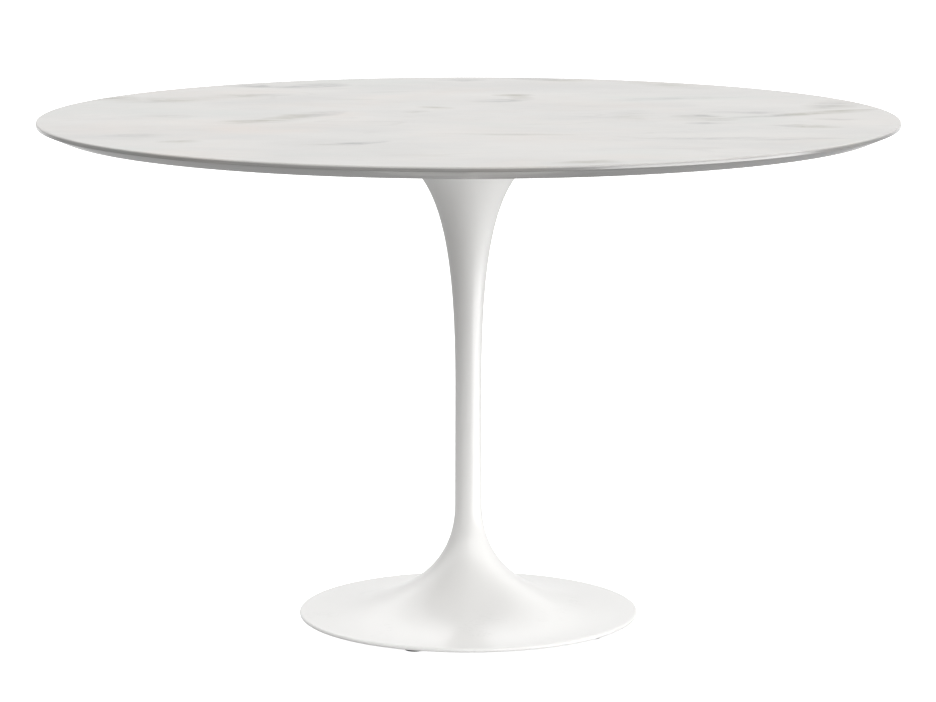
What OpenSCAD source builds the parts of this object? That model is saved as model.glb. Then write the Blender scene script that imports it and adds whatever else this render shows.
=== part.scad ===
// Round pedestal table, in millimetres.
// A marble slab with an undercut edge stands on a one-piece cast pedestal, trumpet-shaped
// at both ends. A four-arm spider is bolted under the slab and screws onto a threaded neck
// in the mouth of the pedestal, and a tie rod through the hollow column holds the neck down
// on its seat. Five levelling glides are screwed into bosses under the rim of the foot.
// +Z is up, the origin is on the floor under the centre, and the front is towards -Y.

/* [Slab] */
// Height of the table surface above the floor
table_h = 724; // [700:1:760]
// Diameter of the slab
slab_d = 1220; // [1000:10:1300]
// Thickness of the slab
slab_t = 19; // [18:0.5:25]
// Height of the upright face round the edge, with its eased arris
edge_face_h = 6.5; // [5:0.5:10]
// Width of the bevel under the edge
bevel_w = 29.5; // [15:0.5:40]
// Radius of the eased upper arris
arris_r = 2.5; // [1:0.5:4]

/* [Pedestal] */
// Diameter of the foot
foot_d = 488; // [470:2:520]
// Thickness of the foot at its rim
rim_t = 6.2; // [6:0.1:8]
// Diameter of the column where the foot's flare ends
stem_low_d = 38.8; // [36:0.2:44]
// Diameter of the column where the upper flare starts
stem_high_d = 38; // [36:0.2:44]
// Diameter of the mouth under the slab
mouth_d = 270; // [260:2:290]
// Shadow gap between the mouth and the slab
mouth_gap = 2; // [1.5:0.5:4]
// Wall thickness of the casting
wall_t = 5.5; // [4.5:0.5:6]

/* [Fixing of the slab] */
// Thread diameter of the tie rod
rod_d = 16; // [14:2:16]
// Thread diameter of the neck that the spider screws onto
neck_d = 30; // [27:1:33]
// Thickness of the spider
spider_t = 12; // [11:1:14]
// Diameter of the circle of bolts into the slab
bolt_circle_d = 190; // [170:5:196]
// Thread diameter of those bolts
bolt_d = 8; // [6:1:8]

/* [Glides] */
// Radius of the circle of glides
glide_circle_r = 220; // [210:1:222]
// Diameter of a glide pad
pad_d = 28; // [24:1:30]
// Height of a glide, which is the gap between the rim and the floor
glide_h = 4; // [4:0.5:6]
// Thread diameter of a glide's stud
stud_d = 6; // [5:1:6]

/* [Hidden] */
GLIDE_COUNT = 5;
$fn = 96;

cut = 1;         // how far a cutting shape runs past the face it cuts
play = 0.05;     // radial play between a shaft or thread and its hole
curve_steps = 32;
arc_steps = 6;

knee_ease = 0.4; // easing of the corner between the slab's edge face and its bevel

// Heights, from the slab down
under_z = table_h - slab_t;
cushion_t = 1.5;
spider_top_z = under_z - cushion_t;
spider_z = spider_top_z - spider_t;
neck_nut_h = 8;
neck_nut_w = 46;
neck_flange_t = 8;
neck_flange_d = 80;
neck_nut_z = spider_z - neck_nut_h;
seat_z = neck_nut_z - neck_flange_t;
mouth_z = under_z - mouth_gap;

// Casting
foot_r = foot_d / 2;
rim_r = foot_r - rim_t / 2;
rim_top_z = glide_h + rim_t;
land_r = foot_r - 9;
seat_t = 10;
web_z = 58;      // underside of the web that the tie rod pulls up against
web_t = 10;
rib_t = 6;
rib_from_r = 34;
rib_knee = [100, 10];
boss_d = 32;
boss_hole_top_z = glide_h + 5.5;

// Outline of the pedestal: two curves joined by the straight column, each given as
// its first point, the two points that steer it and its last point, as [radius, height]
foot_curve = [
    [rim_r, rim_top_z],
    [95, rim_top_z + 5.8],
    [stem_low_d / 2, 70],
    [stem_low_d / 2, 165]
];
mouth_curve = [
    [stem_high_d / 2, 340],
    [stem_high_d / 2, mouth_z - 53],
    [mouth_d / 2 - 60, mouth_z - 57],
    [mouth_d / 2, mouth_z]
];

// Fasteners between the spider and the slab
arm_w = 34;
hub_d = 80;
bolt_head_h = 4.4;
washer_t = 1.6;
recess_h = bolt_head_h + washer_t + 0.2;
recess_floor_z = spider_z + recess_h;
bolt_l = 20;
insert_d = bolt_d + 4;
insert_h = 13;
pin_d = 8;
pin_l = 16;
pin_circle_r = 29;
pin_low_z = seat_z + neck_flange_t - pin_l;

// Fasteners on the lower end of the tie rod
plate_washer_t = 6;
lock_washer_t = 3.5;
split_w = 1.5;
nut_h = 0.8 * rod_d;
plate_washer_z = web_z - plate_washer_t;
lock_washer_z = plate_washer_z - lock_washer_t;
nut_z = lock_washer_z - nut_h;
rod_low_z = nut_z - 5;
rod_high_z = neck_nut_z + neck_nut_h;

// Glides
first_glide_angle = 250;
pad_edge = 0.6;
pad_gap = 0.1;
stud_head_d = 12;
stud_head_z = 1.2;
stud_head_t = 1.2;
stud_top_z = boss_hole_top_z - 0.2;
key_hole_d = 4.8;
key_w = 3;

// Point at t on a curve of four control points
function on_curve(c, t) =
    pow(1 - t, 3) * c[0] + 3 * pow(1 - t, 2) * t * c[1]
    + 3 * (1 - t) * pow(t, 2) * c[2] + pow(t, 3) * c[3];

// Direction of the curve at t
function heading(c, t) =
    pow(1 - t, 2) * (c[1] - c[0]) + 2 * (1 - t) * t * (c[2] - c[1]) + pow(t, 2) * (c[3] - c[2]);

// Point at t, moved into the metal by depth
function under_skin(c, t, depth) =
    let (v = heading(c, t)) on_curve(c, t) + depth / norm(v) * [-v[1], v[0]];

// Points on an arc round a centre, between two angles
function arc(centre, r, from, to) =
    [for (i = [0 : arc_steps])
        let (a = from + (to - from) * i / arc_steps) centre + r * [cos(a), sin(a)]];

// Distance from the centre to a corner of a hexagon that is w across its flats
function hex_r(w) = w / 2 / cos(30);

module ring(r_out, r_in, z, h) {
    translate([0, 0, z])
        difference() {
            cylinder(r = r_out, h = h);
            translate([0, 0, -cut]) cylinder(r = r_in, h = h + 2 * cut);
        }
}

// Hexagon nut of width w across its flats, with both ends chamfered
module hex_nut(w, thread_d, h, z) {
    flat_r = 0.48 * w;
    bevel = 0.6 * (hex_r(w) - flat_r);
    translate([0, 0, z])
        difference() {
            intersection() {
                cylinder(r = hex_r(w), h = h, $fn = 6);
                rotate_extrude()
                    polygon([[0, 0], [flat_r, 0], [hex_r(w), bevel],
                             [hex_r(w), h - bevel], [flat_r, h], [0, h]]);
            }
            translate([0, 0, -cut]) cylinder(r = thread_d / 2 + play, h = h + 2 * cut);
        }
}

// Children at the four bolts of the spider
module at_bolts() {
    for (a = [0 : 90 : 270])
        rotate(a) translate([bolt_circle_d / 2, 0, 0]) children();
}

// Children at the two locating pins
module at_pins() {
    for (a = [45, 225])
        rotate(a) translate([pin_circle_r, 0, 0]) children();
}

// Children at the glide of that number
module at_glide(i) {
    rotate(first_glide_angle + 360 / GLIDE_COUNT * (i - 1))
        translate([glide_circle_r, 0, 0]) children();
}

// Round slab with an eased arris, an upright edge face and a wide bevel below it
module marble_top() {
    slab_r = slab_d / 2;
    knee_z = table_h - edge_face_h;
    outline = concat(
        [[0, under_z], [slab_r - bevel_w, under_z],
         [slab_r - knee_ease, knee_z - knee_ease / 2], [slab_r, knee_z + knee_ease]],
        arc([slab_r - arris_r, table_h - arris_r], arris_r, 0, 90),
        [[0, table_h]]
    );
    color("whitesmoke")
        difference() {
            rotate_extrude($fn = 180) polygon(outline);
            at_bolts()
                translate([0, 0, under_z - cut]) cylinder(d = insert_d, h = insert_h + cut + 1);
        }
}

// Threaded brass inserts bonded into the underside of the slab
module top_inserts() {
    color("goldenrod")
        at_bolts() ring(insert_d / 2 - play, bolt_d / 2 + play, under_z, insert_h);
}

// Thin rubber rings between the spider's arms and the slab
module cushion_pads() {
    color("dimgray")
        at_bolts() ring(arm_w / 2 - 3, bolt_d / 2 + 1, spider_top_z, cushion_t);
}

// Four-arm bracket whose hub is tapped to screw onto the neck
module spider() {
    color("darkslategray")
        translate([0, 0, spider_z])
            difference() {
                union() {
                    cylinder(d = hub_d, h = spider_t);
                    for (a = [0, 90])
                        rotate(a)
                            translate([-bolt_circle_d / 2, -arm_w / 2, 0])
                                cube([bolt_circle_d, arm_w, spider_t]);
                    at_bolts() cylinder(d = arm_w, h = spider_t);
                }
                translate([0, 0, -cut]) cylinder(r = neck_d / 2 + play, h = spider_t + 2 * cut);
                at_bolts() translate([0, 0, -cut]) {
                    cylinder(d = bolt_d + 1, h = spider_t + 2 * cut);
                    cylinder(d = 2 * bolt_d + 2, h = recess_h + cut);
                }
            }
}

// Thin nut that locks the spider on the neck
module neck_nut() {
    color("silver") hex_nut(neck_nut_w, neck_d, neck_nut_h, neck_nut_z);
}

// Flanged neck, threaded outside for the spider and inside for the tie rod
module threaded_neck() {
    neck_top_z = spider_top_z - 1;
    color("silver")
        difference() {
            union() {
                translate([0, 0, seat_z]) cylinder(d = neck_flange_d, h = neck_flange_t);
                translate([0, 0, seat_z]) cylinder(d = neck_d, h = neck_top_z - seat_z);
            }
            translate([0, 0, seat_z - cut])
                cylinder(r = rod_d / 2 + play, h = neck_top_z - seat_z + 2 * cut);
            at_pins()
                translate([0, 0, seat_z - cut]) cylinder(d = pin_d, h = neck_flange_t + 2 * cut);
        }
}

// Button-head bolts, heads down, with a hexagon socket
module spider_bolts() {
    head_r = 0.875 * bolt_d;
    head_z = recess_floor_z - washer_t - bolt_head_h;
    color("silver")
        at_bolts() translate([0, 0, head_z])
            difference() {
                union() {
                    rotate_extrude()
                        polygon([[0, 0], [0.6 * head_r, 0], [head_r, 0.6 * bolt_head_h],
                                 [head_r, bolt_head_h], [0, bolt_head_h]]);
                    cylinder(d = bolt_d, h = bolt_head_h + bolt_l);
                }
                translate([0, 0, -cut]) cylinder(r = hex_r(5), h = 2.4 + cut, $fn = 6);
            }
}

// Washers under the heads of those bolts
module spider_washers() {
    color("silver")
        at_bolts() ring(bolt_d, bolt_d / 2 + 0.2, recess_floor_z - washer_t, washer_t);
}

// Dowels that stop the neck from turning in the pedestal
module locating_pins() {
    color("silver")
        at_pins() translate([0, 0, pin_low_z]) cylinder(d = pin_d, h = pin_l);
}

// Outside of the casting, rim to mouth, turned about the column's axis
module pedestal_skin() {
    outline = concat(
        [[0, glide_h]],
        arc([rim_r, glide_h + rim_t / 2], rim_t / 2, -90, 90),
        [for (i = [1 : curve_steps]) on_curve(foot_curve, i / curve_steps)],
        [for (i = [0 : curve_steps]) on_curve(mouth_curve, i / curve_steps)],
        [[0, mouth_z]]
    );
    rotate_extrude() polygon(outline);
}

// Inside of the casting, one wall thickness within the skin
module pedestal_hollow() {
    outline = concat(
        [[0, glide_h - cut], [land_r, glide_h - cut], [land_r, rim_top_z - wall_t]],
        [for (i = [1 : curve_steps]) under_skin(foot_curve, i / curve_steps, wall_t)],
        [for (i = [0 : curve_steps]) under_skin(mouth_curve, i / curve_steps, wall_t)],
        [[0, under_skin(mouth_curve, 1, wall_t)[1]]]
    );
    rotate_extrude() polygon(outline);
}

// Rib under the foot, from the web to the boss of one glide
module foot_rib() {
    rotate([90, 0, 0])
        translate([0, 0, -rib_t / 2])
            linear_extrude(rib_t)
                polygon([[rib_from_r, web_z - 20], rib_knee, [glide_circle_r, glide_h + 1.5],
                         [glide_circle_r, web_z + 2], [rib_from_r, web_z + 2]]);
}

// What stays solid inside the hollow: seat for the neck, web, bosses and ribs
module pedestal_core() {
    translate([0, 0, seat_z - seat_t]) cylinder(r = mouth_d / 2, h = seat_t);
    translate([0, 0, web_z]) cylinder(r = foot_r / 2, h = web_t);
    for (i = [1 : GLIDE_COUNT]) {
        at_glide(i) translate([0, 0, glide_h]) cylinder(d = boss_d, h = 2 * rim_t);
        rotate(first_glide_angle + 360 / GLIDE_COUNT * (i - 1)) foot_rib();
    }
}

// One-piece pedestal: foot, column and mouth
module pedestal() {
    color("white")
        difference() {
            pedestal_skin();
            difference() {
                pedestal_hollow();
                pedestal_core();
            }
            translate([0, 0, seat_z - seat_t - cut])
                cylinder(d = rod_d + 1, h = seat_t + 2 * cut);
            at_pins() translate([0, 0, pin_low_z]) cylinder(d = pin_d, h = pin_l);
            translate([0, 0, web_z - cut]) cylinder(d = rod_d + 1, h = web_t + 2 * cut);
            for (i = [1 : GLIDE_COUNT])
                at_glide(i) translate([0, 0, glide_h - cut])
                    cylinder(r = stud_d / 2 + play, h = boss_hole_top_z - glide_h + cut);
        }
}

// Threaded rod that holds the neck down on its seat
module tie_rod() {
    r = rod_d / 2;
    color("silver")
        rotate_extrude()
            polygon([[0, rod_low_z], [r - 1.5, rod_low_z], [r, rod_low_z + 1.5],
                     [r, rod_high_z - 1.5], [r - 1.5, rod_high_z], [0, rod_high_z]]);
}

// Thick washer that spreads the rod's pull over the web
module plate_washer() {
    color("silver") ring(1.75 * rod_d, rod_d / 2 + 0.5, plate_washer_z, plate_washer_t);
}

// Split spring washer
module lock_washer() {
    color("gray")
        difference() {
            ring(0.77 * rod_d, rod_d / 2 + 0.2, lock_washer_z, lock_washer_t);
            translate([rod_d / 4, 0, lock_washer_z - cut])
                rotate([20, 0, 0])
                    translate([0, 1 - split_w, -cut]) cube([rod_d, split_w, 3 * lock_washer_t]);
        }
}

// Nut on the lower end of the tie rod
module tie_rod_nut() {
    color("silver") hex_nut(1.5 * rod_d, rod_d, nut_h, nut_z);
}

// Nylon pad that snaps over the head of its stud, with a key hole from below
module glide_pad(i) {
    r = pad_d / 2;
    top_z = glide_h - pad_gap;
    color("black")
        at_glide(i)
            difference() {
                rotate_extrude()
                    polygon([[0, 0], [r - pad_edge, 0], [r, pad_edge],
                             [r, top_z - pad_edge], [r - pad_edge, top_z], [0, top_z]]);
                translate([0, 0, stud_head_z - pad_gap])
                    cylinder(r = stud_head_d / 2 + play, h = stud_head_t + 2 * pad_gap);
                translate([0, 0, stud_head_z]) cylinder(r = stud_d / 2 + play, h = glide_h);
                translate([0, 0, -cut]) cylinder(d = key_hole_d, h = stud_head_z + cut);
            }
}

// Screw that the pad turns on, with a flat head and a hexagon socket
module glide_stud(i) {
    color("silver")
        at_glide(i)
            difference() {
                union() {
                    translate([0, 0, stud_head_z]) cylinder(d = stud_head_d, h = stud_head_t);
                    translate([0, 0, stud_head_z])
                        cylinder(d = stud_d, h = stud_top_z - stud_head_z);
                }
                translate([0, 0, stud_head_z - cut])
                    cylinder(r = hex_r(key_w), h = 3 + cut, $fn = 6);
            }
}

marble_top();
top_inserts();
cushion_pads();
spider();
spider_bolts();
spider_washers();
neck_nut();
threaded_neck();
locating_pins();
pedestal();
tie_rod();
plate_washer();
lock_washer();
tie_rod_nut();
for (i = [1 : GLIDE_COUNT]) {
    glide_pad(i);
    glide_stud(i);
}
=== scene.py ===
import math

import bmesh
import bpy
from mathutils import Matrix, Vector


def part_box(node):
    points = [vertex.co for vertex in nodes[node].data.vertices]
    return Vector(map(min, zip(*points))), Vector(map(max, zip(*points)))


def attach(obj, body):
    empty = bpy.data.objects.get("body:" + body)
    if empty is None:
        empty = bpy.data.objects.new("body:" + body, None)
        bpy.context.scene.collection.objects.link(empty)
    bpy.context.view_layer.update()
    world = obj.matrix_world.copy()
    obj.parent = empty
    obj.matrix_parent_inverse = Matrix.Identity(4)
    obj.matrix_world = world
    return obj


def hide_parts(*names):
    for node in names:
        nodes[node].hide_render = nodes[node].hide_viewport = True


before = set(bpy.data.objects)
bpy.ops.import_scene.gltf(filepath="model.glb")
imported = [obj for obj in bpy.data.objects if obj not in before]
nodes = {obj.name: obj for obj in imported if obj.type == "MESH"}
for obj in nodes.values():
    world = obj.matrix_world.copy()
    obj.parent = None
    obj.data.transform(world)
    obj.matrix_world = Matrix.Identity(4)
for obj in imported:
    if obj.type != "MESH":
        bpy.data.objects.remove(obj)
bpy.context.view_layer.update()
scene = bpy.context.scene

# ---------------------------------------------------------------- sizes, in metres
MM = 0.001

slab_low, slab_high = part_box("marble_top")
SLAB_R = 0.610
SLAB_TOP = slab_high.z
SLAB_UNDER = slab_low.z
EDGE_FACE = 6.5 * MM
BEVEL = 29.5 * MM
ARRIS = 2.5 * MM
INSERT_R = 6 * MM
INSERT_DEPTH = 14 * MM
BOLT_CIRCLE_R = 0.095

# Outline of the pedestal: two curves joined by the straight column, each given as its first
# point, the two points that steer it and its last point, as (radius, height)
FOOT_CURVE = ((0.2409, 0.0102), (0.095, 0.016), (0.0194, 0.070), (0.0194, 0.165))
MOUTH_CURVE = ((0.019, 0.340), (0.019, 0.650), (0.075, 0.646), (0.135, 0.703))
WALL = 5.5 * MM
RIM_LOW = 4 * MM
RIM_T = 6.2 * MM
LAND_R = 0.235
SEAT_TOP = 0.6755
SEAT_T = 10 * MM
WEB_LOW = 0.058
WEB_T = 10 * MM
ROD_HOLE_R = 8.5 * MM
PIN_R = 4 * MM
PIN_CIRCLE_R = 29 * MM
PIN_ANGLES = (45, 225)

GLIDE_COUNT = 5
GLIDES = range(1, GLIDE_COUNT + 1)
GLIDE_CIRCLE_R = 0.220
FIRST_GLIDE_ANGLE = 250
BOSS_R = 16 * MM
STUD_HOLE_R = 3.05 * MM
STUD_HOLE_TOP = 9.5 * MM
RIB_T = 6 * MM
RIB_FROM_R = 0.034

CURVE_STEPS = 72
CORNER = math.radians(35)  # an edge that turns by more than this is a sharp one


# ---------------------------------------------------------------- camera
CAMERA_AT = (-0.0006, -5.419, 1.286)
CAMERA_DOWN = 9.411       # degrees below the horizon
CAMERA_LENS = 147.57      # mm, on a 36 mm wide sensor

camera_data = bpy.data.cameras.new("camera")
camera_data.lens = CAMERA_LENS
camera_data.sensor_width = 36
camera = bpy.data.objects.new("camera", camera_data)
camera.location = CAMERA_AT
camera.rotation_euler = (math.radians(90 - CAMERA_DOWN), 0, 0)
scene.collection.objects.link(camera)
scene.camera = camera


# ---------------------------------------------------------------- outlines
def point_on(curve, t):
    """Point at t on a curve of four control points."""
    weights = ((1 - t) ** 3, 3 * (1 - t) ** 2 * t, 3 * (1 - t) * t * t, t ** 3)
    return Vector((sum(w * p[0] for w, p in zip(weights, curve)),
                   sum(w * p[1] for w, p in zip(weights, curve))))


def under_skin(curve, t, depth):
    """Point at t, moved into the metal by depth."""
    near = 1e-4
    ahead, behind = min(t + near, 1), max(t - near, 0)
    way = (point_on(curve, ahead) - point_on(curve, behind)).normalized()
    return point_on(curve, t) + depth * Vector((-way.y, way.x))


def arc(centre, radius, start, end, steps=8):
    """Points on an arc between two angles in degrees."""
    angles = [math.radians(start + (end - start) * i / steps) for i in range(steps + 1)]
    return [(centre[0] + radius * math.cos(a), centre[1] + radius * math.sin(a)) for a in angles]


def soften(corners, closed=False, steps=4):
    """Outline through (radius, height, rounding) corners, with a curve at each rounded one."""
    count = len(corners)
    outline = []
    for i, (x, z, rounding) in enumerate(corners):
        corner = Vector((x, z))
        if rounding == 0 or (not closed and i in (0, count - 1)):
            outline.append((x, z))
            continue
        before = Vector(corners[i - 1][:2]) - corner
        after = Vector(corners[(i + 1) % count][:2]) - corner
        start = corner + before.normalized() * rounding
        end = corner + after.normalized() * rounding
        for k in range(steps + 1):
            t = k / steps
            spot = (1 - t) ** 2 * start + 2 * (1 - t) * t * corner + t * t * end
            outline.append((spot.x, spot.y))
    return outline


# ---------------------------------------------------------------- mesh tools
def shade_smooth(bm):
    """Smooth faces that meet in sharp edges at the corners."""
    for face in bm.faces:
        face.smooth = True
    for edge in bm.edges:
        edge.smooth = len(edge.link_faces) != 2 or edge.calc_face_angle(0) <= CORNER


def finish_mesh(bm, name):
    """Object from bm, which is used up."""
    bmesh.ops.recalc_face_normals(bm, faces=bm.faces)
    shade_smooth(bm)
    mesh = bpy.data.meshes.new(name)
    bm.to_mesh(mesh)
    bm.free()
    piece = bpy.data.objects.new(name, mesh)
    scene.collection.objects.link(piece)
    return piece


def revolve(name, outline, segments, closed=False, shape=None, at=(0, 0)):
    """Solid of revolution. Points on the axis become poles; shape(r, z, angle) may change r."""
    bm = bmesh.new()
    rings = []
    for r, z in outline:
        if r == 0:
            rings.append([bm.verts.new((at[0], at[1], z))])
            continue
        ring = []
        for i in range(segments):
            a = 2 * math.pi * i / segments
            radius = shape(r, z, a) if shape else r
            x, y = at[0] + radius * math.cos(a), at[1] + radius * math.sin(a)
            ring.append(bm.verts.new((x, y, z)))
        rings.append(ring)
    pairs = list(zip(rings, rings[1:]))
    if closed:
        pairs.append((rings[-1], rings[0]))
    for low, high in pairs:
        for i in range(segments):
            j = (i + 1) % segments
            if len(low) == 1:
                bm.faces.new((low[0], high[i], high[j]))
            elif len(high) == 1:
                bm.faces.new((low[i], low[j], high[0]))
            else:
                bm.faces.new((low[i], low[j], high[j], high[i]))
    return finish_mesh(bm, name)


def prism(bm, outline, low, high):
    """Adds an upright prism over a list of (x, y) points."""
    floor = [bm.verts.new((x, y, low)) for x, y in outline]
    roof = [bm.verts.new((x, y, high)) for x, y in outline]
    bm.faces.new(floor[::-1])
    bm.faces.new(roof)
    for i in range(len(outline)):
        j = (i + 1) % len(outline)
        bm.faces.new((floor[i], floor[j], roof[j], roof[i]))


def round_prism(bm, x, y, radius, low, high, sides=48):
    """Adds an upright cylinder, or a hexagon with sides=6."""
    angles = [2 * math.pi * i / sides for i in range(sides)]
    prism(bm, [(x + radius * math.cos(a), y + radius * math.sin(a)) for a in angles], low, high)


def combine(piece, bm, operation):
    """Unites piece with the solids in bm, or cuts them out of it."""
    tool = finish_mesh(bm, piece.name + "_tool")
    modifier = piece.modifiers.new("combine", "BOOLEAN")
    modifier.operation = operation
    modifier.solver = "EXACT"
    modifier.use_self = operation == "UNION"
    modifier.object = tool
    graph = bpy.context.evaluated_depsgraph_get()
    mesh = bpy.data.meshes.new_from_object(piece.evaluated_get(graph))
    piece.modifiers.clear()
    piece.data = mesh
    bpy.data.objects.remove(tool)
    bm = bmesh.new()
    bm.from_mesh(mesh)
    bmesh.ops.remove_doubles(bm, verts=bm.verts, dist=1e-6)
    bmesh.ops.dissolve_degenerate(bm, edges=bm.edges, dist=1e-6)
    shade_smooth(bm)
    bm.to_mesh(mesh)
    bm.free()


def around(radius, degrees):
    """Point on a circle about the table's axis."""
    a = math.radians(degrees)
    return radius * math.cos(a), radius * math.sin(a)


def glide_angle(i):
    """Where glide i is round the foot, in degrees."""
    return FIRST_GLIDE_ANGLE + 360 / GLIDE_COUNT * (i - 1)


def thread(major, pitch, low, high):
    """A shape for revolve() that cuts a right-hand thread into the wall of that radius."""
    depth = 0.6 * pitch

    def shape(r, z, a):
        if abs(r - major) > 1e-6 or not low < z < high:
            return r
        runout = min((z - low) / pitch, (high - z) / pitch, 1)
        phase = (z / pitch - a / (2 * math.pi)) % 1
        groove = min(max(1.25 - abs(phase - 0.5) * 3.2, 0), 1)
        return r - depth * groove * runout
    return shape


def thread_rows(radius, low, high, pitch, rows=10):
    """Outline points up a threaded wall, rows to a pitch."""
    count = max(2, round((high - low) / pitch * rows))
    return [(radius, low + (high - low) * i / count) for i in range(count + 1)]


# ---------------------------------------------------------------- node tools
def add(tree, kind, inputs=None, **settings):
    """Adds a shader node; inputs are numbers, tuples or the sockets that feed them."""
    node = tree.nodes.new(kind)
    for key, value in settings.items():
        setattr(node, key, value)
    for key, value in (inputs or {}).items():
        if isinstance(value, bpy.types.NodeSocket):
            tree.links.new(value, node.inputs[key])
        else:
            node.inputs[key].default_value = value
    return node


def calc(tree, operation, *values, clamp=False):
    """Math node on numbers or sockets."""
    node = add(tree, "ShaderNodeMath", dict(enumerate(values)), operation=operation)
    node.use_clamp = clamp
    return node.outputs[0]


def mix(tree, factor, low, high):
    """Colour between low and high."""
    node = add(tree, "ShaderNodeMix", {0: factor, 6: low, 7: high}, data_type="RGBA")
    return node.outputs[2]


def ramp(tree, value, low, high, start=0.0, end=1.0):
    """Smooth step of value from start to end as it goes from low to high."""
    node = add(tree, "ShaderNodeMapRange",
               {"Value": value, "From Min": low, "From Max": high, "To Min": start, "To Max": end},
               interpolation_type="SMOOTHSTEP")
    return node.outputs[0]


def vary(tree, value, low, high):
    """About low to high as a noise value goes from a quarter to three quarters."""
    gain = 2 * (high - low)
    return calc(tree, "MULTIPLY_ADD", value, gain, low - gain / 4)


def noise(tree, vector, scale, detail=4.0, rough=0.55, distortion=0.0):
    """Noise value from 0 to 1."""
    node = add(tree, "ShaderNodeTexNoise",
               {"Vector": vector, "Scale": scale, "Detail": detail, "Roughness": rough,
                "Distortion": distortion})
    return node.outputs["Fac"]


def bump(tree, height, distance, strength=1.0, normal=None):
    """Normal from a height."""
    inputs = {"Height": height, "Distance": distance, "Strength": strength}
    if normal:
        inputs["Normal"] = normal
    return add(tree, "ShaderNodeBump", inputs).outputs[0]


def material(name):
    """New material: its tree, its shader and the object coordinates."""
    made = bpy.data.materials.new(name)
    made.use_nodes = True
    tree = made.node_tree
    tree.nodes.clear()
    shader = tree.nodes.new("ShaderNodeBsdfPrincipled")
    output = tree.nodes.new("ShaderNodeOutputMaterial")
    tree.links.new(shader.outputs[0], output.inputs[0])
    place = tree.nodes.new("ShaderNodeTexCoord").outputs["Object"]
    return made, tree, shader, place


def feed(tree, shader, **values):
    """Sets shader sockets by name, with _ for a space, to numbers, colours or sockets."""
    for key, value in values.items():
        socket = shader.inputs[key.replace("_", " ")]
        if isinstance(value, bpy.types.NodeSocket):
            tree.links.new(value, socket)
        else:
            socket.default_value = value


# ---------------------------------------------------------------- marble
PALE_STONE = (0.610, 0.596, 0.573, 1)
GREY_STONE = (0.525, 0.517, 0.502, 1)
WARM_STONE = (0.640, 0.558, 0.498, 1)
COOL_STONE = (0.530, 0.556, 0.530, 1)
GREY_VEIN = (0.27, 0.27, 0.27, 1)
OLIVE_VEIN = (0.31, 0.295, 0.235, 1)
PAINTED_EDGE_SHADE = 0.46         # painted shade: brightness of the edge face and bevel as a share of the top's

# Darker smears in the stone, in plan: x, y, half length, half width, angle, strength
SMEARS = (
    (0.47, 0.035, 0.14, 0.028, 24, 1.0), (0.40, 0.065, 0.07, 0.022, -5, 0.6),
    (0.55, 0.095, 0.06, 0.022, 20, 0.8), (0.325, 0.015, 0.04, 0.03, 0, 0.9),
    (0.335, -0.035, 0.055, 0.028, 0, 0.8), (0.33, -0.09, 0.04, 0.022, 0, 0.8),
    (0.53, 0.17, 0.08, 0.045, 70, 0.7), (0.47, -0.13, 0.07, 0.022, -10, 0.8),
    (0.13, 0.56, 0.08, 0.035, -20, 0.9), (-0.02, 0.56, 0.055, 0.03, 0, 0.6),
    (-0.32, 0.45, 0.08, 0.04, -5, 1.0), (-0.235, 0.47, 0.055, 0.045, 20, 0.8),
    (-0.33, 0.31, 0.07, 0.035, 15, 0.6), (-0.44, 0.24, 0.10, 0.05, 20, 0.6),
    (-0.53, 0.26, 0.06, 0.04, 30, 0.7), (0.075, 0.31, 0.035, 0.028, -20, 0.9),
    (0.085, 0.27, 0.04, 0.022, 80, 0.6), (0.045, 0.232, 0.05, 0.024, 5, 0.9),
    (-0.04, 0.14, 0.04, 0.025, -50, 0.6), (-0.075, 0.078, 0.03, 0.022, 60, 0.6),
    (-0.29, -0.05, 0.07, 0.035, 25, 0.8), (-0.23, 0.02, 0.09, 0.035, 55, 0.7),
    (-0.15, -0.32, 0.05, 0.022, 25, 0.9), (-0.185, -0.345, 0.05, 0.022, 20, 0.6),
    (-0.38, -0.32, 0.04, 0.025, 0, 0.6), (-0.46, -0.24, 0.06, 0.03, 10, 0.5),
    (0.07, -0.24, 0.13, 0.02, -3, 0.45), (0.32, -0.27, 0.13, 0.02, -4, 0.5),
    (0.43, -0.29, 0.09, 0.024, 5, 0.45), (0.16, -0.56, 0.05, 0.022, 10, 0.7),
    (0.30, 0.27, 0.13, 0.035, 12, 0.4), (0.31, 0.47, 0.09, 0.045, -30, 0.45),
    (0.52, -0.04, 0.04, 0.03, 0, 0.5), (0.23, 0.02, 0.04, 0.09, 0, 0.3),
    (-0.42, 0.02, 0.05, 0.024, -15, 0.35),
)
# Warm patches, in the same form
BLUSHES = (
    (-0.28, -0.18, 0.10, 0.08, 0, 0.9), (-0.19, 0.03, 0.05, 0.06, 0, 0.7),
    (0.22, -0.50, 0.09, 0.05, 15, 0.7), (-0.33, 0.36, 0.10, 0.06, 0, 0.4),
    (0.02, -0.17, 0.12, 0.09, 0, 0.35),
)


def smears(tree, place, table):
    """Sum of soft ellipses that are the same through the thickness of the stone."""
    total = 0.0
    for x, y, half_l, half_w, angle, strength in table:
        local = add(tree, "ShaderNodeMapping",
                    {"Vector": place, "Location": (x, y, 0),
                     "Rotation": (0, 0, math.radians(angle)), "Scale": (half_l, half_w, 100)},
                    vector_type="TEXTURE").outputs[0]
        spot = add(tree, "ShaderNodeTexGradient", {"Vector": local}, gradient_type="SPHERICAL")
        total = calc(tree, "MULTIPLY_ADD", spot.outputs["Fac"], strength, total)
    return total


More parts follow.
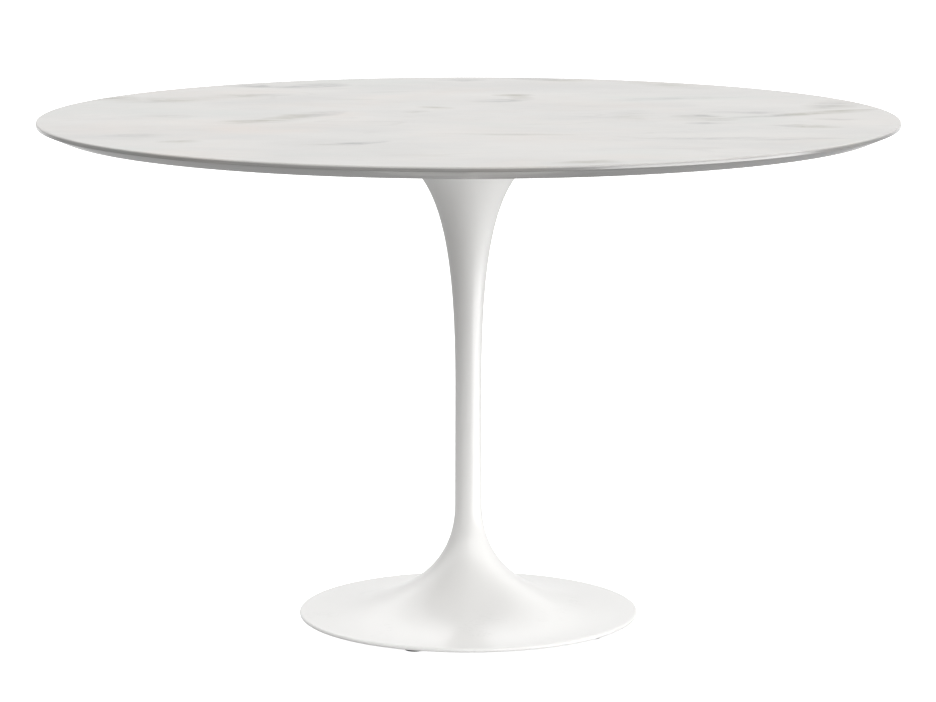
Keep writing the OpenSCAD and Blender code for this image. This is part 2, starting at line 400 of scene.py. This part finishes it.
def warped(tree, place, scale, amount, detail):
    """Coordinates pushed about by noise."""
    push = add(tree, "ShaderNodeTexNoise", {"Vector": place, "Scale": scale, "Detail": detail})
    centred = add(tree, "ShaderNodeVectorMath", {0: push.outputs["Color"], 1: (0.5, 0.5, 0.5)},
                  operation="SUBTRACT").outputs[0]
    scaled = add(tree, "ShaderNodeVectorMath", {0: centred, "Scale": amount}, operation="SCALE")
    return add(tree, "ShaderNodeVectorMath", {0: place, 1: scaled.outputs[0]}).outputs[0]


def turned(tree, place, degrees, scale):
    """Coordinates turned about the upright and stretched."""
    return add(tree, "ShaderNodeMapping",
               {"Vector": place, "Rotation": (0, 0, math.radians(degrees)), "Scale": scale}).outputs[0]


def ridge(tree, value, width):
    """1 where a noise value crosses one half, falling to 0 at width either side."""
    away = calc(tree, "ABSOLUTE", calc(tree, "SUBTRACT", value, 0.5))
    return ramp(tree, away, 0.0, width, 1.0, 0.0)


def marble_colour(tree, place):
    """Pale warm stone with grey smears, thread veins and faint blushes, and how veined it is."""
    bend = warped(tree, place, 5.0, 0.08, 1.0)
    flow = warped(tree, bend, 30.0, 0.018, 1.0)
    streaks = turned(tree, flow, -16, (13.0, 42.0, 20.0))
    streaky = ridge(tree, noise(tree, streaks, 1.0, 5.0, 0.6), 0.14)
    patches = smears(tree, flow, SMEARS)
    inked = calc(tree, "MULTIPLY", patches, calc(tree, "MULTIPLY_ADD", streaky, 1.15, 0.30))

    network = turned(tree, bend, -30, (2.6, 7.0, 5.0))
    threads = ridge(tree, noise(tree, network, 1.0, 2.0, 0.5), 0.016)
    where = ramp(tree, noise(tree, place, 3.1, 2.0), 0.40, 0.66)
    threads = calc(tree, "MULTIPLY", threads, where)
    flecks = noise(tree, turned(tree, flow, -20, (22, 44, 30)), 1.0, 4.0, 0.6)
    veins = calc(tree, "MULTIPLY_ADD", ramp(tree, flecks, 0.62, 0.80), 0.22, inked)
    veins = calc(tree, "MULTIPLY_ADD", threads, 0.20, veins)
    veins = calc(tree, "MINIMUM", veins, 1.0)

    cloud = noise(tree, turned(tree, flow, -25, (3.0, 6.0, 4.0)), 1.0, 6.0, 0.65)
    stone = mix(tree, ramp(tree, cloud, 0.32, 0.72), PALE_STONE, GREY_STONE)
    rosy = ramp(tree, noise(tree, flow, 4.2, 4.0), 0.46, 0.72)
    warm = calc(tree, "MULTIPLY_ADD", rosy, 0.6, smears(tree, flow, BLUSHES), clamp=True)
    stone = mix(tree, calc(tree, "MULTIPLY", warm, 0.5), stone, WARM_STONE)
    cool = noise(tree, turned(tree, flow, 40, (3, 5, 4)), 1.0, 4.0)
    stone = mix(tree, ramp(tree, cool, 0.50, 0.72, 0.0, 0.5), stone, COOL_STONE)
    ink = mix(tree, ramp(tree, noise(tree, place, 5.0, 2.0), 0.4, 0.6), GREY_VEIN, OLIVE_VEIN)
    stone = mix(tree, calc(tree, "MULTIPLY", veins, 0.8), stone, ink)
    grain = noise(tree, place, 1300.0, 2.0)
    stone = mix(tree, ramp(tree, grain, 0.35, 0.65, 0.0, 0.06), stone, GREY_VEIN)
    return stone, veins


def polished_marble():
    """Satin top; the edge and the bevel carry a clear coat and are darkened by painted shade."""
    made, tree, shader, place = material("polished_marble")
    colour, veins = marble_colour(tree, place)
    height = add(tree, "ShaderNodeSeparateXYZ", {0: place}).outputs["Z"]
    on_edge = ramp(tree, height, SLAB_TOP - 3.5 * MM, SLAB_TOP - 0.6 * MM, 1.0, 0.0)
    lines = noise(tree, turned(tree, place, 0, (7.0, 7.0, 800.0)), 1.0, 3.0)
    # painted shade: the edge face and bevel take the top's colour scaled down, with faint horizontal
    # streaks
    shade = calc(tree, "MULTIPLY_ADD", calc(tree, "SUBTRACT", lines, 0.5), 0.35, PAINTED_EDGE_SHADE)
    painted_shade_colour = add(tree, "ShaderNodeVectorMath", {0: colour, "Scale": shade}, operation="SCALE")
    colour = mix(tree, on_edge, colour, painted_shade_colour.outputs[0])
    smudges = noise(tree, place, 7.0, 4.0)
    rough = calc(tree, "MULTIPLY_ADD", veins, 0.05, vary(tree, smudges, 0.28, 0.35))
    pores = ramp(tree, noise(tree, place, 420.0, 3.0), 0.55, 0.75)
    waves = noise(tree, place, 14.0, 2.0)
    normal = bump(tree, waves, 0.00015, 0.5)
    normal = bump(tree, pores, 0.00002, 0.3, normal)
    feed(tree, shader, Base_Color=colour, Roughness=rough, Normal=normal, IOR=1.5)
    feed(tree, shader, Coat_Weight=on_edge, Coat_Roughness=0.12, Coat_IOR=1.6)
    return made


def sawn_marble():
    """Dull underside with the marks of the saw and small pits."""
    made, tree, shader, place = material("sawn_marble")
    colour, _ = marble_colour(tree, place)
    saw = turned(tree, place, 12, (900.0, 14.0, 1.0))
    marks = noise(tree, saw, 1.0, 3.0, 0.6)
    pits = ramp(tree, noise(tree, place, 260.0, 4.0), 0.58, 0.7)
    dull = mix(tree, ramp(tree, marks, 0.3, 0.8, 0.05, 0.25), colour, (0.50, 0.49, 0.46, 1))
    height = calc(tree, "MULTIPLY_ADD", pits, -0.8, marks)
    feed(tree, shader, Base_Color=dull, Roughness=vary(tree, marks, 0.62, 0.82),
         Normal=bump(tree, height, 0.0003, 0.6))
    return made


# ---------------------------------------------------------------- other materials
def white_lacquer():
    """Semi-gloss lacquer with a little orange peel, scuffed near the floor."""
    made, tree, shader, place = material("white_lacquer")
    drift = noise(tree, place, 6.0, 3.0)
    colour = mix(tree, drift, (0.825, 0.819, 0.803, 1), (0.855, 0.851, 0.838, 1))
    height = add(tree, "ShaderNodeSeparateXYZ", {0: place}).outputs["Z"]
    near_floor = ramp(tree, height, 4 * MM, 50 * MM, 1.0, 0.0)
    scuff_lines = ridge(tree, noise(tree, turned(tree, place, 35, (60, 190, 90)), 1.0, 4.0), 0.03)
    scuff_where = ramp(tree, noise(tree, place, 21.0, 2.0), 0.56, 0.68)
    scuffs = calc(tree, "MULTIPLY", calc(tree, "MULTIPLY", scuff_lines, scuff_where), near_floor)
    colour = mix(tree, calc(tree, "MULTIPLY", scuffs, 0.18), colour, (0.45, 0.45, 0.44, 1))
    peel = noise(tree, place, 520.0, 2.0, 0.4)
    swell = noise(tree, place, 38.0, 2.0)
    normal = bump(tree, swell, 0.00025, 0.25)
    normal = bump(tree, peel, 0.00004, 0.35, normal)
    rough = calc(tree, "MULTIPLY_ADD", scuffs, 0.2, vary(tree, drift, 0.30, 0.37))
    feed(tree, shader, Base_Color=colour, Roughness=rough, Normal=normal)
    feed(tree, shader, Coat_Weight=0.35, Coat_Roughness=0.12)
    return made


def primed_casting():
    """Inside of the foot: sand-cast texture under a thin coat of primer."""
    made, tree, shader, place = material("primed_casting")
    sand = noise(tree, place, 420.0, 5.0, 0.65)
    lumps = noise(tree, place, 55.0, 3.0)
    colour = mix(tree, lumps, (0.66, 0.655, 0.64, 1), (0.76, 0.755, 0.74, 1))
    thin = ramp(tree, noise(tree, place, 34.0, 5.0), 0.62, 0.74)
    colour = mix(tree, calc(tree, "MULTIPLY", thin, 0.35), colour, (0.42, 0.42, 0.41, 1))
    normal = bump(tree, sand, 0.0004, 0.55, bump(tree, lumps, 0.0008, 0.4))
    feed(tree, shader, Base_Color=colour, Roughness=vary(tree, sand, 0.6, 0.8), Normal=normal)
    return made


def zinc_steel():
    """Zinc plate with blotches, faint spangle and fine scratches."""
    made, tree, shader, place = material("zinc_steel")
    blotch = noise(tree, place, 90.0, 4.0)
    colour = mix(tree, blotch, (0.56, 0.57, 0.58, 1), (0.70, 0.70, 0.68, 1))
    spangle = add(tree, "ShaderNodeTexVoronoi", {"Vector": place, "Scale": 700.0})
    tint = calc(tree, "MULTIPLY", spangle.outputs["Distance"], 0.35)
    colour = mix(tree, tint, colour, (0.42, 0.43, 0.45, 1))
    scratch = noise(tree, turned(tree, place, 20, (400, 400, 3000)), 1.0, 2.0)
    feed(tree, shader, Base_Color=colour, Roughness=vary(tree, blotch, 0.28, 0.44),
         Normal=bump(tree, scratch, 0.00002, 0.4))
    feed(tree, shader, Metallic=1.0)
    return made


def black_steel():
    """Satin black paint, a little grainy."""
    made, tree, shader, place = material("black_steel")
    grain = noise(tree, place, 650.0, 3.0)
    patchy = noise(tree, place, 24.0, 3.0)
    colour = mix(tree, patchy, (0.022, 0.022, 0.024, 1), (0.045, 0.045, 0.047, 1))
    feed(tree, shader, Base_Color=colour, Roughness=vary(tree, patchy, 0.42, 0.58),
         Normal=bump(tree, grain, 0.00008, 0.5))
    return made


def turned_brass():
    """Brass with tool rings and a few stains."""
    made, tree, shader, place = material("turned_brass")
    rings = noise(tree, turned(tree, place, 0, (60, 60, 2600)), 1.0, 2.0, 0.5)
    stain = noise(tree, place, 120.0, 3.0)
    colour = mix(tree, stain, (0.80, 0.60, 0.28, 1), (0.62, 0.45, 0.20, 1))
    feed(tree, shader, Base_Color=colour, Roughness=vary(tree, stain, 0.22, 0.38),
         Normal=bump(tree, rings, 0.00003, 0.4))
    feed(tree, shader, Metallic=1.0)
    return made


def soft_rubber():
    """Matt rubber with a bloom of dust."""
    made, tree, shader, place = material("soft_rubber")
    grain = noise(tree, place, 1100.0, 3.0)
    dust = ramp(tree, noise(tree, place, 130.0, 4.0), 0.5, 0.8)
    dusty = calc(tree, "MULTIPLY", dust, 0.3)
    colour = mix(tree, dusty, (0.03, 0.03, 0.031, 1), (0.13, 0.125, 0.12, 1))
    feed(tree, shader, Base_Color=colour, Roughness=vary(tree, grain, 0.72, 0.88),
         Normal=bump(tree, grain, 0.00005, 0.5))
    return made


def nylon():
    """Moulded black nylon, rubbed pale where it stands on the floor."""
    made, tree, shader, place = material("nylon")
    grain = noise(tree, place, 900.0, 2.0)
    height = add(tree, "ShaderNodeSeparateXYZ", {0: place}).outputs["Z"]
    worn = calc(tree, "MULTIPLY", ramp(tree, height, 0.0, 0.8 * MM, 1.0, 0.0),
                ramp(tree, noise(tree, place, 240.0, 4.0), 0.4, 0.65))
    rubbed = calc(tree, "MULTIPLY", worn, 0.5)
    colour = mix(tree, rubbed, (0.042, 0.042, 0.045, 1), (0.22, 0.21, 0.20, 1))
    feed(tree, shader, Base_Color=colour, Roughness=vary(tree, grain, 0.45, 0.6),
         Normal=bump(tree, grain, 0.00006, 0.5))
    return made


MARBLE = polished_marble()
SAWN = sawn_marble()
LACQUER = white_lacquer()
PRIMED = primed_casting()
ZINC = zinc_steel()
BLACK = black_steel()
BRASS = turned_brass()
RUBBER = soft_rubber()
NYLON = nylon()


# ---------------------------------------------------------------- pieces
def place_piece(piece, body, slot, finish, *replaced):
    """Gives a new piece its body and material, and hides the CAD nodes it stands for. The slot is not
    used.
    """
    piece.data.materials.clear()
    piece.data.materials.append(finish)
    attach(piece, body)
    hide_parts(*replaced)


def marble_slab():
    """Round slab: eased arris, upright edge face, wide bevel and four blind holes below."""
    knee = SLAB_TOP - EDGE_FACE
    rings = [0.12, 0.24, 0.36, 0.48]
    corners = [(0, SLAB_UNDER, 0)]
    corners += [(r, SLAB_UNDER, 0) for r in rings]
    corners += [(SLAB_R - BEVEL, SLAB_UNDER, 1.5 * MM), (SLAB_R, knee, 1.0 * MM)]
    outline = soften(corners + [(SLAB_R, SLAB_TOP, 0)])[:-1]
    outline += arc((SLAB_R - ARRIS, SLAB_TOP - ARRIS), ARRIS, 0, 90)
    outline += [(r, SLAB_TOP) for r in reversed(rings)] + [(0, SLAB_TOP)]
    slab = revolve("marble_slab", outline, 320)
    holes = bmesh.new()
    for quarter in range(4):
        x, y = around(BOLT_CIRCLE_R, 90 * quarter)
        round_prism(holes, x, y, INSERT_R, SLAB_UNDER - MM, SLAB_UNDER + INSERT_DEPTH)
    combine(slab, holes, "DIFFERENCE")
    place_piece(slab, "table", "marble", MARBLE, "marble_top")
    slab.data.materials.append(SAWN)
    for face in slab.data.polygons:
        below = face.center.z < SLAB_UNDER + INSERT_DEPTH + MM
        face.material_index = int(below and face.normal.z < -0.98)


def rib_outline():
    """Side of a rib under the foot, as (radius, height): straight below, inside the wall above."""
    below = [(GLIDE_CIRCLE_R, RIM_LOW + 1.5 * MM), (0.100, 0.010), (RIB_FROM_R, WEB_LOW - 0.020)]
    above = []
    for i in range(CURVE_STEPS):
        spot = under_skin(FOOT_CURVE, i / CURVE_STEPS, WALL / 2)
        if spot.y < WEB_LOW + WEB_T / 2 and spot.x < GLIDE_CIRCLE_R:
            above.append((spot.x, spot.y))
    above.reverse()
    return below + [(RIB_FROM_R, WEB_LOW + WEB_T / 2)] + above


def foot_fittings():
    """Bosses for the glides and the ribs that run out to them."""
    bm = bmesh.new()
    for i in GLIDES:
        x, y = around(GLIDE_CIRCLE_R, glide_angle(i))
        round_prism(bm, x, y, BOSS_R, RIM_LOW, RIM_LOW + 4 * MM)
        turn = Matrix.Rotation(math.radians(glide_angle(i)), 3, "Z")
        sides = []
        for y_side in (-RIB_T / 2, RIB_T / 2):
            sides.append([bm.verts.new(turn @ Vector((r, y_side, z))) for r, z in rib_outline()])
        bm.faces.new(sides[0])
        bm.faces.new(sides[1][::-1])
        for a in range(len(sides[0])):
            b = (a + 1) % len(sides[0])
            bm.faces.new((sides[0][a], sides[1][a], sides[1][b], sides[0][b]))
    return bm


def cast_pedestal():
    """One casting: foot, column and mouth, hollow, with a web, a seat, ribs and bosses."""
    steps = [i / CURVE_STEPS for i in range(CURVE_STEPS + 1)]
    rim_centre = (FOOT_CURVE[0][0], RIM_LOW + RIM_T / 2)
    skin = arc(rim_centre, RIM_T / 2, -90, 90)
    skin += [tuple(point_on(FOOT_CURVE, t)) for t in steps[1:]]
    skin += [tuple(point_on(MOUTH_CURVE, t)) for t in steps[:-1]]
    mouth_r, mouth_z = MOUTH_CURVE[-1]
    lip = soften([skin[-1] + (0,), (mouth_r, mouth_z, 0.8 * MM), (mouth_r - 8 * MM, mouth_z, 0)])
    inner_foot = [under_skin(FOOT_CURVE, t, WALL) for t in steps[1:]]
    inner_mouth = [under_skin(MOUTH_CURVE, t, WALL) for t in steps]
    recess = [tuple(p) for p in reversed(inner_mouth) if SEAT_TOP < p.y < mouth_z]
    seat_low = SEAT_TOP - SEAT_T
    cavity = [tuple(p) for p in reversed(inner_mouth) if p.y < seat_low]
    cavity += [tuple(p) for p in reversed(inner_foot) if p.y > WEB_LOW + WEB_T]
    hollow = [tuple(p) for p in reversed(inner_foot) if p.y < WEB_LOW]
    outline = skin + lip[1:] + recess
    outline += [(recess[-1][0] - 1.5 * MM, SEAT_TOP), (ROD_HOLE_R, SEAT_TOP), (ROD_HOLE_R, seat_low)]
    outline += [(cavity[0][0] - MM, seat_low)] + cavity
    outline += [(cavity[-1][0] - MM, WEB_LOW + WEB_T), (ROD_HOLE_R, WEB_LOW + WEB_T)]
    outline += [(ROD_HOLE_R, WEB_LOW), (hollow[0][0] - MM, WEB_LOW)] + hollow
    outline += [(LAND_R, hollow[-1][1] - 0.5 * MM), (LAND_R, RIM_LOW)]
    casting = revolve("cast_pedestal", outline, 192, closed=True)
    combine(casting, foot_fittings(), "UNION")
    holes = bmesh.new()
    for i in GLIDES:
        x, y = around(GLIDE_CIRCLE_R, glide_angle(i))
        round_prism(holes, x, y, STUD_HOLE_R, RIM_LOW - MM, STUD_HOLE_TOP, 32)
    for degrees in PIN_ANGLES:
        x, y = around(PIN_CIRCLE_R, degrees)
        round_prism(holes, x, y, PIN_R, SEAT_TOP - 8 * MM, SEAT_TOP + MM, 32)
    combine(casting, holes, "DIFFERENCE")
    place_piece(casting, "table", "white_lacquer", LACQUER, "pedestal")
    casting.data.materials.append(PRIMED)
    for face in casting.data.polygons:
        out = math.hypot(face.center.x, face.center.y)
        underneath = face.center.z < WEB_LOW + MM and face.normal.z < 0.02 and out < LAND_R + MM
        face.material_index = int(underneath and face.center.z > RIM_LOW + 0.1 * MM)


def threaded_tie_rod():
    """M16 rod, threaded at both ends, with chamfered tips."""
    low, high = (corner.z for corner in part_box("tie_rod"))
    radius, pitch, tip = 8 * MM, 2 * MM, 1.5 * MM
    lower_end, upper_start = low + 0.050, high - 0.040
    outline = [(0, low), (radius - tip, low), (radius, low + tip)]
    outline += thread_rows(radius, low + tip, lower_end, pitch)[1:]
    outline += thread_rows(radius, upper_start, high - tip, pitch)
    outline += [(radius - tip, high), (0, high)]
    lower, upper = thread(radius, pitch, low, lower_end), thread(radius, pitch, upper_start, high)

    def shape(r, z, a):
        return min(lower(r, z, a), upper(r, z, a))
    rod = revolve("tie_rod_screw", outline, 48, shape=shape)
    place_piece(rod, "table", "zinc_steel", ZINC, "tie_rod")


def threaded_neck():
    """Flange and M30 neck, bored through for the tie rod."""
    low, high = (corner.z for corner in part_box("threaded_neck"))
    radius, pitch, flange_top, flange_r, bore = 15 * MM, 2 * MM, low + 8 * MM, 40 * MM, 8.05 * MM
    outline = soften([(bore, low, 0.4 * MM), (flange_r, low, 0.5 * MM), (flange_r, flange_top, 0.8 * MM),
                      (radius, flange_top, 0)])
    outline += thread_rows(radius, flange_top, high - MM, pitch)[1:]
    outline += [(radius - MM, high), (bore + 0.8 * MM, high), (bore, high - 0.8 * MM)]
    neck = revolve("neck_screw", outline, 64, closed=True, shape=thread(radius, pitch, flange_top, high))
    holes = bmesh.new()
    for degrees in PIN_ANGLES:
        x, y = around(PIN_CIRCLE_R, degrees)
        round_prism(holes, x, y, PIN_R, low - MM, flange_top + MM, 32)
    combine(neck, holes, "DIFFERENCE")
    place_piece(neck, "table", "zinc_steel", ZINC, "threaded_neck")


def glide_pad(i):
    """Moulded pad: rounded edges, shallow grips round the rim, a groove and a key hole below."""
    at = around(GLIDE_CIRCLE_R, glide_angle(i))
    r, top = 14 * MM, 3.9 * MM
    pocket_r, pocket_low, pocket_high = 6.05 * MM, 1.1 * MM, 2.5 * MM
    key_r, neck_r = 2.4 * MM, 3.05 * MM
    outline = soften([
        (key_r, 0, 0.2 * MM), (9 * MM, 0, 0.1 * MM), (9.4 * MM, 0.4 * MM, 0.1 * MM),
        (10.4 * MM, 0.4 * MM, 0.1 * MM), (10.8 * MM, 0, 0.1 * MM), (r, 0, 0.9 * MM), (r, top, 0.9 * MM),
        (neck_r, top, 0.3 * MM), (neck_r, pocket_high, 0), (pocket_r, pocket_high, 0),
        (pocket_r, pocket_low, 0), (key_r, pocket_low, 0)], closed=True)
    grips, grip_depth = 24, 0.4 * MM

    def shape(radius, z, a):
        near_rim = max(0, (radius - 0.012) / 0.002)
        return radius - grip_depth * near_rim * (0.5 - 0.5 * math.cos(grips * a)) ** 3
    pad = revolve(f"glide_{i}_pad", outline, 144, closed=True, shape=shape, at=at)
    place_piece(pad, f"glide_pad_{i}", "nylon", NYLON, f"glide_pad_{i}")


def glide_screw(i):
    """M6 screw with a flat head and a hexagon socket."""
    at = around(GLIDE_CIRCLE_R, glide_angle(i))
    low, high = 1.2 * MM, 9.3 * MM
    radius, pitch, head_r, head_top, tip = 3 * MM, 1 * MM, 6 * MM, 2.4 * MM, 0.6 * MM
    outline = soften([(0, low, 0), (head_r, low, 0.25 * MM), (head_r, head_top, 0.25 * MM),
                      (radius, head_top, 0)])
    outline += thread_rows(radius, head_top + 0.8 * MM, high - tip, pitch)
    outline += [(radius - tip, high), (0, high)]
    screw = revolve(f"glide_{i}_screw", outline, 36, at=at,
                    shape=thread(radius, pitch, head_top + 0.8 * MM, high))
    socket = bmesh.new()
    round_prism(socket, at[0], at[1], 1.5 * MM / math.cos(math.pi / 6), low - MM, low + 3 * MM, 6)
    combine(screw, socket, "DIFFERENCE")
    place_piece(screw, f"glide_stud_{i}", "zinc_steel", ZINC, f"glide_stud_{i}")


marble_slab()
cast_pedestal()
threaded_tie_rod()
threaded_neck()
for number in GLIDES:
    glide_pad(number)
    glide_screw(number)

CAD_FINISH = {
    "top_inserts": BRASS, "cushion_pads": RUBBER, "spider": BLACK, "spider_bolts": ZINC,
    "spider_washers": ZINC, "neck_nut": ZINC, "locating_pins": ZINC, "plate_washer": ZINC,
    "lock_washer": ZINC, "tie_rod_nut": ZINC,
}
for name, finish in CAD_FINISH.items():
    node = nodes[name]
    node.data.materials.clear()
    node.data.materials.append(finish)


# ---------------------------------------------------------------- floor and light
# Angles of the studio light: rise above the horizon, turn from the front towards the right
BLUR = math.radians(14)
UPPER_RISE = (math.radians(30), math.radians(54))
BACKDROP_RISE = (math.radians(-4), math.radians(26))
BACKDROP_TURN = (math.radians(135), math.radians(160))
KEY_RISE = (math.radians(-16), math.radians(-4))
KEY_TURN = (math.radians(42), math.radians(92))
FILL_RISE = (math.radians(22), math.radians(48))
FILL_TURN = (math.radians(2), math.radians(48))
# How bright each part of it is
GROUND_GLOW = 0.46
SKY_GLOW = 0.30
UPPER_GLOW = 1.14
BACKDROP_GLOW = 0.64
KEY_GLOW = 5.0
FILL_GLOW = 0.95


def floor():
    """Pale floor that curves up into a wall all round. Only the camera sees it."""
    made, tree, shader, place = material("studio_floor")
    grain = noise(tree, place, 160.0, 3.0)
    colour = mix(tree, noise(tree, place, 0.7, 2.0), (0.90, 0.90, 0.90, 1), (0.93, 0.93, 0.93, 1))
    feed(tree, shader, Base_Color=colour, Roughness=0.85, Normal=bump(tree, grain, 0.0002, 0.1))
    feed(tree, shader, Emission_Color=(1, 1, 1, 1), Emission_Strength=0.8)
    wall_r, wall_h, cove_r = 32.0, 30.0, 8.0
    outline = [(0, 0)] + arc((wall_r - cove_r, cove_r), cove_r, -90, 0) + [(wall_r, wall_h)]
    cove = revolve("studio_floor", outline, 96)
    cove.data.materials.append(made)
    cove.visible_diffuse = False
    cove.visible_glossy = False
    cove.visible_shadow = False


def band(tree, value, low, high, blur):
    """1 between low and high, falling smoothly to 0 over blur outside them."""
    return calc(tree, "MULTIPLY", ramp(tree, value, low - blur, low),
                ramp(tree, value, high, high + blur, 1.0, 0.0))


def studio_world():
    """Dim surroundings, a ring of light above, a pale backdrop, a fill and a low light on the right.

    The low light is under the horizon and above what the slab's bevel mirrors, so that it shapes
    the column and the foot without shining back from the slab on any side.
    """
    world = bpy.data.worlds.new("studio")
    scene.world = world
    world.use_nodes = True
    tree = world.node_tree
    tree.nodes.clear()
    way = tree.nodes.new("ShaderNodeTexCoord").outputs["Generated"]
    parts = add(tree, "ShaderNodeSeparateXYZ", {0: way}).outputs
    rise = calc(tree, "ARCSINE", parts["Z"])
    turn = calc(tree, "ARCTAN2", parts["X"], calc(tree, "MULTIPLY", parts["Y"], -1))
    strength = ramp(tree, rise, -BLUR / 2, BLUR / 2, GROUND_GLOW, SKY_GLOW)
    strength = calc(tree, "MULTIPLY_ADD", band(tree, rise, *UPPER_RISE, BLUR), UPPER_GLOW, strength)
    behind = ramp(tree, calc(tree, "ABSOLUTE", turn), *BACKDROP_TURN)
    backdrop = calc(tree, "MULTIPLY", behind, band(tree, rise, *BACKDROP_RISE, BLUR))
    strength = calc(tree, "MULTIPLY_ADD", backdrop, BACKDROP_GLOW, strength)
    key = calc(tree, "MULTIPLY", band(tree, rise, *KEY_RISE, BLUR / 2),
               band(tree, turn, *KEY_TURN, BLUR))
    strength = calc(tree, "MULTIPLY_ADD", key, KEY_GLOW, strength)
    fill = calc(tree, "MULTIPLY", band(tree, rise, *FILL_RISE, BLUR),
                band(tree, turn, *FILL_TURN, BLUR))
    strength = calc(tree, "MULTIPLY_ADD", fill, FILL_GLOW, strength)
    background = add(tree, "ShaderNodeBackground", {"Color": (1, 1, 1, 1), "Strength": strength})
    output = tree.nodes.new("ShaderNodeOutputWorld")
    tree.links.new(background.outputs[0], output.inputs[0])


floor()
studio_world()
scene.view_settings.view_transform = "Standard"
